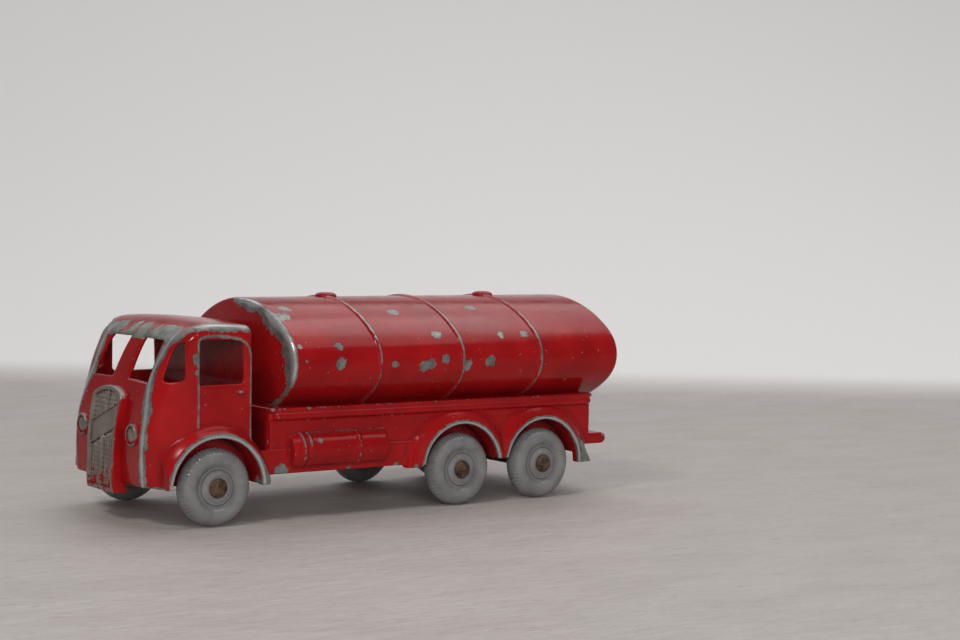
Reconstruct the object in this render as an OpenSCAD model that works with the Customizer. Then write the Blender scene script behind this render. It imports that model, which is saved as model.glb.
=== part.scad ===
// Six-wheeled toy tanker lorry in die-cast zinc, with loose plastic wheels on riveted steel axles.
// Frame: +X forward, +Y to the lorry's left, +Z up. The origin is on the ground, below the middle
// of the overall box. All lengths are in millimetres.

/* [Overall] */
// Length from the radiator grille to the back of the tank
overall_length = 64.4; // [64:0.1:65]
// Front axle to the face of the radiator grille
nose_overhang = 8.4; // [8.3:0.05:8.5]

/* [Wheels and axles] */
// Wheel diameter over the tread
wheel_d = 8.6; // [8.4:0.1:8.8]
// Width of a wheel over its rounded sidewalls
wheel_w = 2.8; // [2.6:0.1:2.9]
// Distance between the middle planes of a left and a right wheel
track = 21.5; // [21.4:0.1:21.7]
// Front axle to middle axle
front_wheelbase = 32.5; // [32.2:0.1:32.8]
// Middle axle to rear axle
bogie_wheelbase = 12.2; // [12.1:0.1:12.4]
// Diameter of an axle's shaft
axle_d = 1.6; // [1.5:0.05:1.7]
// Diameter of the domed head at each end of an axle
axle_head_d = 2.2; // [2.1:0.1:2.4]
// Radial gap between a shaft and the holes it turns in
running_gap = 0.05; // [0.03:0.01:0.08]

/* [Cab] */
// Width over the doors
cab_w = 22.4; // [22.2:0.1:22.6]
// Height of the roof above the ground
cab_top = 22.5; // [22.4:0.1:22.7]
// Height of the cab's lower edge
cab_bottom = 4.35; // [4.3:0.05:4.5]
// Front axle to the cab's back wall
cab_back = 4.5; // [4.4:0.05:4.6]
// Thickness of the cast walls
wall = 1; // [0.9:0.05:1.1]

/* [Chassis] */
// Height of the deck that the tank stands on
deck_top = 12.65; // [12.6:0.05:12.8]
// Thickness of the deck, which is also the height of the rounded strip along its edge
deck_t = 1.44; // [1.4:0.02:1.5]
// Height of the lower edge of the side skirts
skirt_bottom = 5.25; // [5.1:0.05:5.4]
// Height of the top of the thicker lower rail
rail_top = 8; // [7.9:0.05:8.1]
// Front axle to the front wall of the chassis
chassis_front = 6.7; // [6.7:0.05:6.8]
// Front axle to the back wall of the chassis
chassis_back = 52.6; // [52.4:0.1:52.7]

/* [Mudguards] */
// Inner radius of every wheel arch
arch_r = 5.4; // [5.3:0.05:5.5]
// Outer radius of the lip round an arch
lip_r = 5.9; // [5.85:0.05:6]
// Radius where a flared mudguard leaves the side of the body
flare_r = 6.8; // [6.7:0.05:6.9]
// How far a mudguard's lip stands out from the side
flare_out = 1; // [0.9:0.05:1.1]

/* [Tank] */
// Width of the oval tank
tank_w = 26.3; // [26.1:0.1:26.5]
// Height of the oval tank
tank_h = 14.1; // [14:0.1:14.2]
// Height of the tank's middle above the ground
tank_mid = 17.45; // [17.4:0.05:17.5]
// Front axle to the front face of the tank
tank_front = 8.4; // [8.3:0.05:8.6]
// Distance between neighbouring bands round the tank
band_pitch = 11.6; // [11.5:0.05:11.7]
// Width of a band
band_w = 0.65; // [0.6:0.05:0.8]
// How far a band stands out from the barrel
band_out = 0.2; // [0.15:0.05:0.25]
// Diameter of a filler cap
cap_d = 2.7; // [2.5:0.1:2.9]

/* [Side details] */
// Diameter of the air cylinder on each side
cylinder_d = 4; // [3.8:0.05:4.1]
// Length of the air cylinder
cylinder_l = 12.6; // [12.4:0.1:12.8]
// Diameter over the headlamp rims
lamp_d = 2.66; // [2.5:0.02:2.8]

/* [Hidden] */
$fn = 96;

eps = 0.01;
paint = "#a01218";
zinc = "#8d918c";
plastic = "#9da6a8";
steel = "#6b5844";

// Stations along X
front_axle_x = overall_length / 2 - nose_overhang;
middle_axle_x = front_axle_x - front_wheelbase;
rear_axle_x = middle_axle_x - bogie_wheelbase;
bogie_axles = [middle_axle_x, rear_axle_x];
cab_back_x = front_axle_x - cab_back;
chassis_front_x = front_axle_x - chassis_front;
chassis_back_x = front_axle_x - chassis_back;
tank_front_x = front_axle_x - tank_front;
tank_back_x = -overall_length / 2;
end_t = 1.2;

// Stations across Y
side = cab_w / 2;
lip_y = side + flare_out;
wheel_r = wheel_d / 2;
web_out = track / 2 - wheel_w / 2 - 0.35;
web_t = 0.8;
web_in = web_out - web_t;
deck_bottom = deck_top - deck_t;
bore_d = axle_d + 2 * running_gap;
wheel_face = track / 2 + 1.26;

// The cab's front is one arc in side view, leaning back towards the roof
front_arc_r = 25;
front_arc_z = 7.5;
front_arc_x = front_axle_x + 7.6 - front_arc_r;
// The corner runs as an arc from the crease beside the windscreen to the front of the door
door_front = 2.1;
crease_low = 8.8;
crease_high = 6.95;
corner_turn = 36;
shoulder_z = 19.5;
roof_r = 2.6;
roof_side_r = 1.7;
roof_crown = 0.3;
front_drop = 1.1;

function front_x(z) = front_arc_x + sqrt(pow(front_arc_r, 2) - pow(z - front_arc_z, 2));
function crease_y(z) = crease_low + (crease_high - crease_low) * max(0, z - 8) / 12;

// The corner's curve in one horizontal slice of the cab, from the door to the crease: an arc low
// down, and a quarter of an ellipse where the corner is wider than it is long.
// front_in draws the front in, side_in draws the sides in.
function corner_points(z, front_in, side_in, n) =
    let (x0 = front_axle_x + door_front - front_in,
         dx = front_x(z) - front_axle_x - door_front,
         dy = side - crease_y(z),
         k = min(dx, dy),
         r = (dx * dx + k * k) / (2 * k),
         turn = 2 * atan(k / dx))
    [for (i = [0 : n])
        [x0 + r * sin(turn * i / n), side - side_in - r * (1 - cos(turn * i / n)) * dy / k]];

// Outline of one horizontal slice: back corners, the two corner curves of n steps, the flat front
function slice_outline(z, front_in, side_in, n) =
    let (left = concat([[cab_back_x + side_in, side - side_in]], corner_points(z, front_in, side_in, n)))
    concat(left, [for (i = [len(left) - 1 : -1 : 0]) [left[i][0], -left[i][1]]]);

module slice(z, front_in, side_in, n) {
    translate([0, 0, z])
        linear_extrude(eps)
            polygon(slice_outline(z, front_in, side_in, n));
}

// The cab as a solid, t smaller all round. n sets how finely its corners are stepped.
module cab_solid(t, n) {
    roof = cab_top - t;
    hull() {
        for (i = [0 : n])
            slice(cab_bottom + 0.3 + i * (shoulder_z - cab_bottom - 0.3) / n, t, t, n);
        slice(cab_bottom, t + 0.25, t + 0.15, n);
        for (i = [1 : n])
            slice(roof - roof_crown - roof_r + roof_r * sin(90 * i / n),
                t + front_drop * (1 - cos(90 * i / n)), t + roof_side_r * (1 - cos(90 * i / n)), n);
        translate([cab_back_x + 2.5, -side / 2, roof - eps])
            cube([3.4, side, eps]);
    }
}

// Extrudes an outline drawn in (Y, Z) along X from x0 to x1
module along_x(x0, x1) {
    translate([x0, 0, 0])
        rotate([90, 0, 90])
            linear_extrude(x1 - x0)
                children();
}

// Extrudes an outline drawn in (X, Z) along Y from y0 to y1
module along_y(y0, y1) {
    translate([0, y1, 0])
        rotate([90, 0, 0])
            linear_extrude(y1 - y0)
                children();
}

// A cylinder along Y from y0 to y1 about the point (x, z)
module y_cylinder(x, z, r, y0, y1) {
    translate([x, y1, z])
        rotate([90, 0, 0])
            cylinder(r = r, h = y1 - y0);
}

// A polygon with a round of radius r at each corner
module rounded(points, r) {
    hull()
        for (p = points)
            translate(p)
                circle(r, $fn = 24);
}

module windscreen_panes() {
    for (s = [1, -1])
        along_x(front_axle_x + 1.6, front_axle_x + 9)
            rounded([[s * 2.3, 19.4], [s * 5.8, 19.35], [s * 6.5, 15.95], [s * 2.65, 16.4]], 0.55);
}

module door_windows() {
    along_y(-side - 2, side + 2)
        translate([front_axle_x, 0])
            rounded([[1.3, 16.1], [1.3, 19.65], [-2.25, 19.55], [-2.35, 16.1]], 0.7);
}

// Windows in the cab's rounded corners, cut square to the corner's surface
module quarter_lights() {
    for (s = [1, -1])
        on_side(s)
            translate([front_axle_x, 0, 0])
                rotate([0, 0, -corner_turn])
                    along_y(side - 2.4, side + 3)
                        rounded([[-3.3, 16.4], [-3.2, 19.85], [-2.9, 19.85], [-2.2, 19], [-1.85, 18],
                            [-1.25, 16.2], [-1.8, 16.05]], 0.3);
}

// Outline of the radiator in (Y, Z): straight sides under a shallow arch
module grille_outline(t) {
    intersection() {
        polygon([[-3.35 + t, 3.2 + t], [3.35 - t, 3.2 + t], [3.7 - t, 15], [-3.7 + t, 15]]);
        translate([0, 14.85 - t - 7.6])
            circle(7.6);
    }
}

// Curved plate between two radii about the cab front's own arc
module front_plate(r0, r1) {
    difference() {
        y_cylinder(front_arc_x, front_arc_z, r1, -side, side);
        y_cylinder(front_arc_x, front_arc_z, r0, -side - 1, side + 1);
    }
}

grille_back = front_arc_r - 0.4;
grille_face = front_arc_r + 0.8;
lamp_back_x = front_axle_x + 6.9;
lamp_y = 6.4;
lamp_z = 9.9;

module lamp_pocket(s) {
    translate([lamp_back_x, s * lamp_y, lamp_z])
        rotate([0, 90, 0])
            cylinder(d = lamp_d, h = 3);
}

module cab_shell() {
    color(paint)
        difference() {
            cab_solid(0, 6);
            cab_solid(wall, 3);
            translate([cab_back_x + wall, -side + wall, cab_bottom - 1])
                cube([7.5, 2 * side - 2 * wall, 3]);
            windscreen_panes();
            door_windows();
            quarter_lights();
            intersection() {
                along_x(front_axle_x, front_axle_x + 12)
                    grille_outline(0);
                front_plate(grille_back, front_arc_r + 3);
            }
            for (s = [1, -1])
                lamp_pocket(s);
            for (s = [1, -1])
                on_side(s)
                    wing_blank(web_in);
        }
}

module radiator_grille() {
    color(zinc) {
        intersection() {
            along_x(front_axle_x, front_axle_x + 12)
                grille_outline(0);
            front_plate(grille_back, grille_face - 0.3);
        }
        intersection() {
            along_x(front_axle_x, front_axle_x + 12) {
                difference() {
                    grille_outline(0);
                    grille_outline(0.5);
                }
                intersection() {
                    grille_outline(0);
                    for (i = [-4 : 4])
                        translate([i * 0.7 - 0.15, 3])
                            square([0.3, 12]);
                }
            }
            front_plate(grille_face - 0.31, grille_face);
        }
    }
}

module headlamp(s) {
    color(zinc)
        translate([lamp_back_x, s * lamp_y, lamp_z])
            rotate([0, 90, 0])
                rotate_extrude()
                    polygon([[0, 0], [lamp_d / 2, 0], [lamp_d / 2, 0.6], [lamp_d / 2 - 0.2, 0.98],
                        [lamp_d / 2 - 0.4, 0.75], [0.7, 0.9], [0, 1]]);
}

// The flare of one mudguard, a cone frustum from the body side out to the lip
module flare(x, root_r) {
    translate([x, side, wheel_r])
        rotate([-90, 0, 0])
            cylinder(r1 = root_r, r2 = lip_r, h = flare_out);
}

// Inner wall of a wheel well, with a lug round the axle
module well_web(x) {
    difference() {
        y_cylinder(x, wheel_r, lip_r, web_in, web_out);
        translate([x - 8, web_in - 1, -10])
            cube([16, web_t + 2, cab_bottom + 10]);
    }
    y_cylinder(x, wheel_r, 1.6, web_in, web_out);
}

// Everything above a height, on the left side of the body
module above(z, x0, x1) {
    translate([x0, 0, z])
        cube([x1 - x0, side + 5, 30]);
}

// The space a front wing takes in the cab's side, from y0 outwards
module wing_blank(y0) {
    intersection() {
        union() {
            y_cylinder(front_axle_x, wheel_r, lip_r, y0, side);
            y_cylinder(front_axle_x, wheel_r, flare_r, side - 1.7, side);
        }
        above(cab_bottom - 1, front_axle_x - flare_r, front_axle_x + wing_front);
    }
}

wing_front = 6.4;

module front_wing() {
    tail_x = front_axle_x - 6.5;
    difference() {
        union() {
            well_web(front_axle_x);
            intersection() {
                union() {
                    flare(front_axle_x, flare_r);
                    wing_blank(web_in);
                    along_y(side, lip_y)
                        polygon([[tail_x, cab_bottom], [tail_x, cab_bottom + 0.6],
                            [tail_x + 0.9, cab_bottom + 2.3], [tail_x + 1.5, cab_bottom + 3.2],
                            [front_axle_x - 4, cab_bottom + 2], [front_axle_x - 4, cab_bottom]]);
                }
                above(cab_bottom, tail_x, front_axle_x + wing_front);
            }
        }
        y_cylinder(front_axle_x, wheel_r, arch_r, web_out, lip_y + 1);
        y_cylinder(front_axle_x, wheel_r, bore_d / 2, web_in - 1, web_out + 1);
    }
}

guard_bottom = 4.1;
well_bottom = 5.4;

module rear_wing() {
    tail_x = rear_axle_x - 7.5;
    difference() {
        union() {
            for (x = bogie_axles)
                well_web(x);
            intersection() {
                union()
                    for (x = bogie_axles) {
                        flare(x, flare_r + 0.7);
                        y_cylinder(x, wheel_r, lip_r, web_in, side);
                    }
                translate([tail_x, 0, well_bottom])
                    cube([middle_axle_x - tail_x + 8, side + 5, deck_bottom - 0.05 - well_bottom]);
            }
            along_y(side, lip_y)
                polygon([[middle_axle_x + 5, guard_bottom + 0.8], [middle_axle_x + 7.6, guard_bottom + 0.8],
                    [middle_axle_x + 7.4, guard_bottom + 2], [middle_axle_x + 5, guard_bottom + 3]]);
            along_y(side, lip_y)
                polygon([[tail_x, guard_bottom], [tail_x + 1.6, guard_bottom + 3.4],
                    [rear_axle_x - 5, guard_bottom + 3], [rear_axle_x - 3.6, guard_bottom]]);
        }
        for (x = bogie_axles) {
            y_cylinder(x, wheel_r, arch_r, web_out, lip_y + 1);
            y_cylinder(x, wheel_r, bore_d / 2, web_in - 1, web_out + 1);
        }
    }
}

// Plate that closes the side between two arches and the deck
module side_skirt() {
    difference() {
        union() {
            along_y(side - wall, side)
                polygon([[chassis_back_x, skirt_bottom + 1], [chassis_back_x, deck_bottom],
                    [chassis_front_x, deck_bottom], [chassis_front_x, skirt_bottom],
                    [middle_axle_x, skirt_bottom], [rear_axle_x, skirt_bottom]]);
            along_y(side - wall, side + 0.15)
                polygon([[middle_axle_x + 7, skirt_bottom], [middle_axle_x + 7, rail_top],
                    [cab_back_x, rail_top], [cab_back_x, skirt_bottom]]);
        }
        for (x = bogie_axles)
            y_cylinder(x, wheel_r, lip_r, side - wall - 1, side + 1);
        y_cylinder(front_axle_x, wheel_r, lip_r, side - wall - 1, side + 1);
        rear_wing();
        front_wing();
        air_cylinder();
    }
}

cylinder_x1 = front_axle_x - 9.3;
cylinder_x0 = cylinder_x1 - cylinder_l;
cylinder_z = 7.7;
cylinder_y = side - 0.7;

// A horizontal cylinder let into the side, with three raised rings
module air_cylinder() {
    translate([cylinder_x0, cylinder_y, cylinder_z])
        rotate([0, 90, 0]) {
            cylinder(d = cylinder_d, h = cylinder_l);
            for (x = [3.8, 10.2, 11.1])
                translate([0, 0, x])
                    cylinder(d = cylinder_d + 0.36, h = 0.45);
        }
}

// Draws a left-hand piece on the side s: 1 is left, -1 is right
module on_side(s) {
    if (s > 0)
        children();
    else
        mirror([0, 1, 0])
            children();
}

end_wall_bottom = 6.85;

module chassis_frame() {
    strip_r = deck_t / 2;
    color(paint)
        difference() {
            union() {
                translate([chassis_back_x, -side, deck_bottom])
                    cube([chassis_back - chassis_front, 2 * side, deck_t]);
                for (s = [1, -1])
                    translate([chassis_back_x, s * side, deck_bottom + strip_r])
                        rotate([0, 90, 0])
                            cylinder(r = strip_r, h = chassis_back - chassis_front);
                for (x = [chassis_front_x - wall, chassis_back_x])
                    translate([x, wall - side, end_wall_bottom])
                        cube([wall, 2 * (side - wall), deck_top - end_wall_bottom - 0.5]);
                translate([chassis_front_x - eps, -web_in, end_wall_bottom])
                    cube([chassis_front - cab_back + eps, 2 * web_in, rail_top - end_wall_bottom]);
            }
            rivet_holes();
        }
}

rivet_d = 1.8;
rivet_x = [tank_front_x - 8, tank_back_x + 16];

module rivet_holes() {
    for (x = rivet_x)
        translate([x, 0, deck_bottom - 1])
            cylinder(d = rivet_d, h = deck_t + 1 + wall + 1);
}

// Shank through the deck and the tank floor, with a dome below and a spun head inside
module body_rivet(x) {
    top = deck_t + wall;
    color(zinc)
        translate([x, 0, deck_bottom])
            rotate_extrude()
                polygon([[0, -0.6], [0.6, -0.55], [1.1, -0.4], [1.4, -0.15], [1.5, 0], [rivet_d / 2, 0],
                    [rivet_d / 2, top], [1.3, top], [1.2, top + 0.4], [0, top + 0.5]]);
}

module rear_bumper() {
    color(paint)
        along_y(-side, side) {
            translate([chassis_back_x - 2.1, 6.85])
                circle(0.7);
            translate([chassis_back_x - 2.1, 6.15])
                square([2.1, 1.4]);
        }
}

tank_end_arc = 3.7;

// Oval of half-axes a and b, made of four tangent arcs, drawn about the tank's middle
module oval(grow) {
    a = tank_w / 2 + grow;
    b = tank_h / 2 + grow;
    r = tank_end_arc + grow;
    big_r = (a * a + b * b - 2 * a * r) / (2 * (b - r));
    meet = big_r * (a - r) / (big_r - r);
    translate([0, tank_mid]) {
        for (s = [1, -1])
            translate([s * (a - r), 0])
                circle(r);
        intersection() {
            translate([0, b - big_r])
                circle(big_r, $fn = 256);
            translate([0, big_r - b])
                circle(big_r, $fn = 256);
            translate([-meet, -b])
                square([2 * meet, 2 * b]);
        }
    }
}

// Clips an outline to the part that stands above the deck
module over_deck() {
    intersection() {
        children();
        translate([-20, deck_top])
            square([40, 20]);
    }
}

module tank_barrel() {
    color(paint)
        difference() {
            union() {
                along_x(chassis_back_x, tank_front_x - end_t)
                    over_deck()
                        oval(0);
                along_x(tank_back_x + end_t, chassis_back_x)
                    oval(0);
            }
            along_x(chassis_back_x, tank_front_x)
                intersection() {
                    oval(-wall);
                    translate([-20, deck_top + wall])
                        square([40, 20]);
                }
            along_x(tank_back_x, chassis_back_x + wall)
                intersection() {
                    oval(-wall);
                    translate([-20, deck_top + wall])
                        square([40, 20]);
                }
            rivet_holes();
        }
}

module tank_front_end() {
    color(paint) {
        along_x(tank_front_x - end_t, tank_front_x - 0.35)
            over_deck()
                oval(0);
        along_x(tank_front_x - 0.351, tank_front_x)
            over_deck()
                oval(-0.3);
    }
}

module tank_rear_end() {
    color(paint) {
        along_x(tank_back_x + 0.5, tank_back_x + end_t)
            oval(0);
        along_x(tank_back_x, tank_back_x + 0.501)
            oval(-0.4);
    }
}

band_x = [for (i = [1 : 3]) tank_front_x - i * band_pitch];
cap_behind_band = 0.5;

// Raised band over the tank from one edge of the deck to the other
module tank_band(x) {
    color(paint)
        along_x(x - band_w / 2, x + band_w / 2)
            over_deck()
                difference() {
                    oval(band_out);
                    oval(0);
                }
}

// Shallow domed lid on top of the tank, astride the band at x
module filler_cap(x) {
    color(paint)
        difference() {
            translate([x - cap_behind_band, 0, tank_mid + tank_h / 2 - 0.6])
                rotate_extrude()
                    polygon([[0, 0], [cap_d / 2, 0], [cap_d / 2, 0.8], [cap_d / 2 - 0.25, 1],
                        [0.6, 1.1], [0, 1.12]]);
            along_x(x - cap_d, x + cap_d)
                oval(0);
            along_x(x - band_w / 2, x + band_w / 2)
                oval(band_out);
        }
}

// Shaft with a domed head outside each wheel
module axle(x) {
    half = wheel_face + 0.02;
    shaft_r = axle_d / 2;
    head_r = axle_head_d / 2;
    color(steel)
        translate([x, 0, wheel_r])
            rotate([90, 0, 0])
                rotate_extrude()
                    polygon([[0, -half - 0.42], [0.55, -half - 0.36], [0.9, -half - 0.2], [head_r, -half],
                        [shaft_r, -half], [shaft_r, half], [head_r, half], [0.9, half + 0.2],
                        [0.55, half + 0.36], [0, half + 0.42]]);
}

// Section of a wheel in (radius, distance outwards): bore, raised boss, groove, rounded tyre
module wheel_section() {
    bore_r = bore_d / 2;
    half = wheel_w / 2;
    round_r = 1.3;
    difference() {
        union() {
            translate([bore_r, -half + 0.3])
                square([2.6, 2 * half - 0.6]);
            translate([bore_r, -half])
                square([1, 0.4]);
            for (s = [1, -1])
                translate([wheel_r - round_r, s * (half - round_r)])
                    circle(round_r);
            translate([bore_r, 0])
                square([1.88 - bore_r, 1.26]);
        }
        translate([1.88, 0.85])
            square([0.6, 1]);
    }
}

module wheel(x, s) {
    color(plastic)
        translate([x, s * track / 2, wheel_r])
            rotate([-90 * s, 0, 0])
                rotate_extrude()
                    wheel_section();
}

cab_shell();
radiator_grille();
headlamp(1);  // headlamp_left
headlamp(-1);  // headlamp_right
color(paint) on_side(1) front_wing();  // front_wing_left
color(paint) on_side(-1) front_wing();  // front_wing_right
chassis_frame();
color(paint) on_side(1) side_skirt();  // side_skirt_left
color(paint) on_side(-1) side_skirt();  // side_skirt_right
color(paint) on_side(1) rear_wing();  // rear_wing_left
color(paint) on_side(-1) rear_wing();  // rear_wing_right
color(paint) on_side(1) air_cylinder();  // air_cylinder_left
color(paint) on_side(-1) air_cylinder();  // air_cylinder_right
rear_bumper();
tank_barrel();
tank_front_end();
tank_rear_end();
tank_band(band_x[0]);  // tank_band_front
tank_band(band_x[1]);  // tank_band_middle
tank_band(band_x[2]);  // tank_band_rear
filler_cap(band_x[0]);  // filler_cap_front
filler_cap(band_x[2]);  // filler_cap_rear
body_rivet(rivet_x[0]);  // body_rivet_front
body_rivet(rivet_x[1]);  // body_rivet_rear
axle(front_axle_x);  // axle_front
axle(middle_axle_x);  // axle_middle
axle(rear_axle_x);  // axle_rear
wheel(front_axle_x, 1);  // wheel_front_left
wheel(front_axle_x, -1);  // wheel_front_right
wheel(middle_axle_x, 1);  // wheel_middle_left
wheel(middle_axle_x, -1);  // wheel_middle_right
wheel(rear_axle_x, 1);  // wheel_rear_left
wheel(rear_axle_x, -1);  // wheel_rear_right
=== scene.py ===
import math

import bpy
import numpy as np
import openvdb as vdb
from mathutils import Matrix, Vector


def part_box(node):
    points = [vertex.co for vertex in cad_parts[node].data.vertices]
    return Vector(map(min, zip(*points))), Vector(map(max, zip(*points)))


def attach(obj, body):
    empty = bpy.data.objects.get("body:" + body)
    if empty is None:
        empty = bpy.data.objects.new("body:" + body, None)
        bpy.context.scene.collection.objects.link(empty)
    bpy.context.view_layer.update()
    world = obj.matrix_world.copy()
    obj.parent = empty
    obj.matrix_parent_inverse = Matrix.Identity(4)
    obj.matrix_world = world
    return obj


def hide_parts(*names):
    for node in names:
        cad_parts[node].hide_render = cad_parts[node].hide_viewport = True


# Lengths below are in millimetres, with x counted from the front axle, y from the middle plane
# and z from the ground. place() turns them into the frame's metres.
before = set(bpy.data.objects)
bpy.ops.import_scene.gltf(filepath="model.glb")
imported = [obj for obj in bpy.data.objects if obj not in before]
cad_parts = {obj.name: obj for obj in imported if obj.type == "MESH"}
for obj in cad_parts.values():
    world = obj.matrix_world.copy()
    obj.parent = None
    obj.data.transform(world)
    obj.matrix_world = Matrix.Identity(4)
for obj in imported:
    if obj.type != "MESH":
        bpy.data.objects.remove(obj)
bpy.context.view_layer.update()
MM = 0.001


def low(node):
    """The least x, y and z of a CAD node, in millimetres of the frame."""
    return [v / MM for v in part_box(node)[0]]


def high(node):
    return [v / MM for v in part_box(node)[1]]


def middle(node):
    least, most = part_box(node)
    return [(a + b) / 2 / MM for a, b in zip(least, most)]


FRONT_AXLE = middle("axle_front")[0]
AXLES = {k: middle("axle_" + k)[0] - FRONT_AXLE for k in ("front", "middle", "rear")}
WHEEL_Z = middle("axle_front")[2]
BACK_AXLES = (AXLES["middle"], AXLES["rear"])
SIDE = high("cab_shell")[1]
LIP_Y = high("front_wing_left")[1]
CAB_BACK = low("cab_shell")[0] - FRONT_AXLE
CAB_BOTTOM = low("cab_shell")[2]
DECK_TOP = high("chassis_frame")[2]
DECK_BOTTOM = 11.21
DECK_FRONT, DECK_BACK = -6.7, -52.6
TANK_FRONT = high("tank_front_end")[0] - FRONT_AXLE
TANK_BACK = low("tank_rear_end")[0] - FRONT_AXLE
TANK_Z = middle("tank_rear_end")[2]
BANDS = [middle("tank_band_" + k)[0] - FRONT_AXLE for k in ("front", "middle", "rear")]
# The castings leave a well round each wheel, with a web inside it that carries a lug round the axle
WELL_R, WEB_R, LUG_R, BORE_R = 5.4, 6.0, 1.6, 0.85
WEB_IN, WEB_OUT, WEB_HALF = 8.2, 9.0, 0.4
WEB_MIDDLE = (WEB_IN + WEB_OUT) / 2
# The wear at which bare zinc begins to show, and the most that any rule gives
SHOWS, MOST_WEAR = 0.62, 1.3


def place(points):
    """Millimetres from the front axle to the frame's metres."""
    p = np.array(points, dtype=float)
    p[:, 0] += FRONT_AXLE
    return p * MM


# -------- distance fields

def lattice(lo, hi, h):
    """Open X, Y and Z arrays of a voxel grid."""
    axes = [np.arange(a, b + h, h) for a, b in zip(lo, hi)]
    return (axes[0][:, None, None], axes[1][None, :, None], axes[2][None, None, :])


def polygon(px, py, points):
    """Signed distance to a closed outline."""
    v = np.array(points, dtype=float)
    d = np.full(np.broadcast(px, py).shape, 1e9)
    s = np.ones(d.shape)
    for i in range(len(v)):
        a, b = v[i], v[i - 1]
        ex, ey = b - a
        wx, wy = px - a[0], py - a[1]
        t = np.clip((wx * ex + wy * ey) / (ex * ex + ey * ey), 0, 1)
        d = np.minimum(d, (wx - ex * t) ** 2 + (wy - ey * t) ** 2)
        c1, c2, c3 = py >= a[1], py < b[1], ex * wy > ey * wx
        flip = (c1 & c2 & c3) | ~(c1 | c2 | c3)
        s = np.where(flip, -s, s)
    return s * np.sqrt(d)


def polyline(px, py, points):
    """Distance to an open line."""
    d = np.full(np.broadcast(px, py).shape, 1e9)
    for a, b in zip(points[:-1], points[1:]):
        ex, ey = b[0] - a[0], b[1] - a[1]
        wx, wy = px - a[0], py - a[1]
        t = np.clip((wx * ex + wy * ey) / (ex * ex + ey * ey), 0, 1)
        d = np.minimum(d, (wx - ex * t) ** 2 + (wy - ey * t) ** 2)
    return np.sqrt(d)


def cut(a, b, r):
    """Intersection with a rounded edge."""
    u, v = np.maximum(a + r, 0), np.maximum(b + r, 0)
    return np.minimum(np.maximum(a, b), -r) + np.sqrt(u * u + v * v)


def join(a, b, r):
    """Union with a fillet."""
    return -cut(-a, -b, r)


def length(*parts):
    return np.sqrt(sum(v ** 2 for v in parts))


def bell(off, width):
    """1 where off is 0, fading to either side."""
    return np.exp(-(off / width) ** 2)


def smooth(t):
    """0 to 1 with soft ends."""
    t = np.clip(t, 0, 1)
    return t * t * (3 - 2 * t)


# -------- meshes

def add(name, data):
    """A new object in the scene."""
    ob = bpy.data.objects.new(name, data)
    bpy.context.collection.objects.link(ob)
    return ob


def make_mesh(name, points, faces):
    me = bpy.data.meshes.new(name)
    me.from_pydata(place(points).tolist(), [], faces)
    me.polygons.foreach_set("use_smooth", np.ones(len(me.polygons), dtype=bool))
    me.update()
    return add(name, me)


def facing_out(points, faces):
    """Turns every face over if the closed mesh is inside out."""
    corners = [points[[f[k] for f in faces]] for k in range(3)]
    volume = np.einsum("ij,ij->i", corners[0], np.cross(corners[1], corners[2])).sum()
    return [tuple(reversed(f)) for f in faces] if volume < 0 else faces


def neighbours(me):
    """The two ends of every edge."""
    e = np.empty(len(me.edges) * 2, dtype=np.int64)
    me.edges.foreach_get("vertices", e)
    return e[0::2], e[1::2]


def averaged(p, a, b, rounds, share=1.0):
    """Moves every point towards the mean of its neighbours."""
    n = len(p)
    deg = (np.bincount(a, minlength=n) + np.bincount(b, minlength=n)).astype(float)
    for _ in range(rounds):
        total = [np.bincount(a, p[b, k], n) + np.bincount(b, p[a, k], n) for k in range(p.shape[1])]
        p = p + share * (np.stack(total, 1) / deg[:, None] - p)
    return p


def coords(me):
    p = np.empty(len(me.vertices) * 3)
    me.vertices.foreach_get("co", p)
    return p.reshape(-1, 3)


def local_mm(me):
    """Vertex places in millimetres with x from the front axle."""
    p = coords(me) / MM
    p[:, 0] -= FRONT_AXLE
    return p


FAR_VOXELS = 3.0


def voxel_piece(name, distance, lo, hi, h):
    """The zero surface of a distance function, meshed from voxels h wide between two corners."""
    field = np.clip(distance(*lattice(lo, hi, h)) / h, -FAR_VOXELS, FAR_VOXELS).astype(np.float32)
    for k in range(3):
        edge = [slice(None)] * 3
        for end in (0, -1):
            edge[k] = end
            field[tuple(edge)] = FAR_VOXELS
    grid = vdb.FloatGrid(FAR_VOXELS)
    grid.copyFromArray(field)
    points, quads = grid.convertToQuads(isovalue=0.0)
    points = points * h + np.array(lo)
    ob = make_mesh(name, points, facing_out(points, quads.tolist()))
    me = ob.data
    a, b = neighbours(me)
    p = averaged(coords(me), a, b, 2, 0.5)
    me.vertices.foreach_set("co", p.ravel())
    me.update()
    return ob


def mark(ob, wear, hollow_shade_grime):
    """Stores wear, and painted shade with some grime, for the shaders: a number at every vertex, or one for
    all.
    """
    for name, values in (("wear", wear), ("hollow_shade_grime", hollow_shade_grime)):
        column = ob.data.attributes.new(name, "FLOAT", "POINT").data
        column.foreach_set("value", np.full(len(column), values, dtype=np.float32))


def edges_of(ob, reach, h):
    """How far each vertex stands out from (+) or lies in (-) its surroundings, about -1 to 1."""
    me = ob.data
    a, b = neighbours(me)
    rounds = int(max(4, min(60, 2 * (reach / h) ** 2)))
    p = coords(me)
    q = averaged(p, a, b, rounds)
    nor = np.empty(len(p) * 3)
    me.vertices.foreach_get("normal", nor)
    out = ((p - q) * nor.reshape(-1, 3)).sum(1) / MM
    return np.clip(out / (0.35 * reach), -1, 1)


def spots(p, places):
    """Wear that peaks at each (x, y, z, radius)."""
    w = np.zeros(len(p))
    for x, y, z, r in places:
        d = np.sqrt(((p - np.array([x, y, z])) ** 2).sum(1))
        w = np.maximum(w, np.clip(SHOWS + 0.55 * (1 - d / r), 0, 1.15))
    return w


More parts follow.
